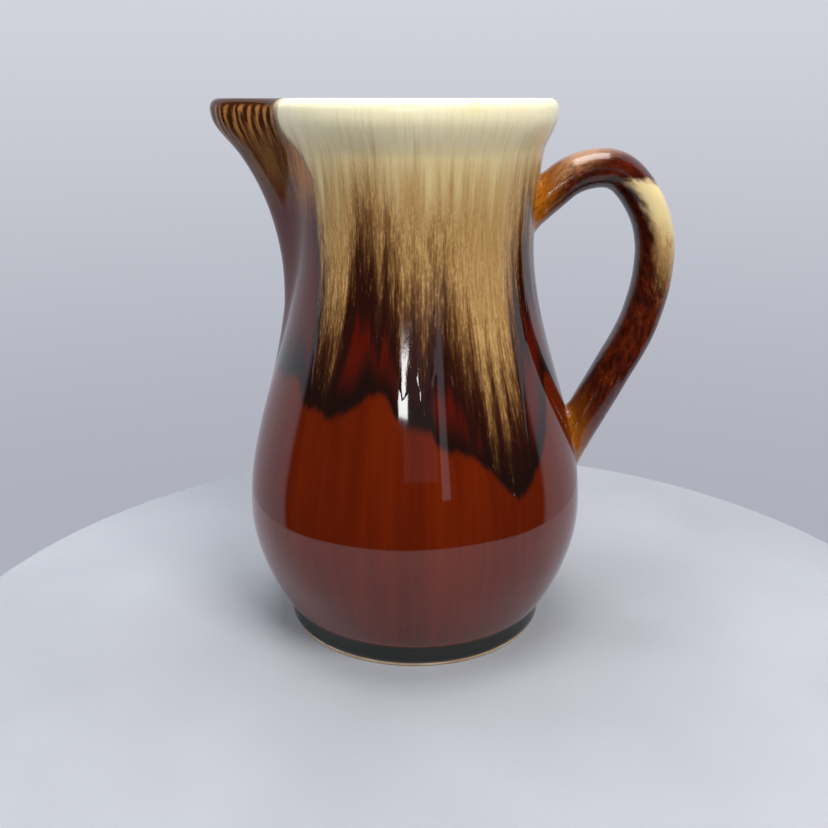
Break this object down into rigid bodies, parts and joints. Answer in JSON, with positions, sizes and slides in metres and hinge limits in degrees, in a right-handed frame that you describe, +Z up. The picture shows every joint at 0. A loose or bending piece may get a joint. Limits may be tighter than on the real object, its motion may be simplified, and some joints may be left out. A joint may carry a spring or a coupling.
{
  "type": "pitcher",
  "caption": "Stoneware pitcher with a round belly, beak spout and loop handle, in amber glaze with cream glaze run down from the rim.",
  "frame": {"origin": "on the vessel's axis, at the level of the foot's resting face", "axes": "+Z up; the beak points to -X and the handle stands on the +X side; +Y is the vessel's far side when the beak is on the left"},
  "size_m": [0.1406, 0.1074, 0.165],
  "materials": {
    "fired_clay": "bare fired clay, matt",
    "amber_glaze": "deep amber-brown glaze, glossy",
    "handle_glaze": "amber-brown glaze with yellow where it breaks over edges, glossy",
    "cream_glaze": "cream glaze breaking into tan streaks, glossy"
  },
  "bodies": {
    "root": {"body": "fired_clay", "handle": "fired_clay", "lower_joint_slip": "fired_clay", "upper_joint_slip": "fired_clay", "lining_glaze": "amber_glaze", "base_glaze": "amber_glaze", "handle_glaze": "handle_glaze", "drip_glaze": "cream_glaze"}
  },
  "joints": []
}
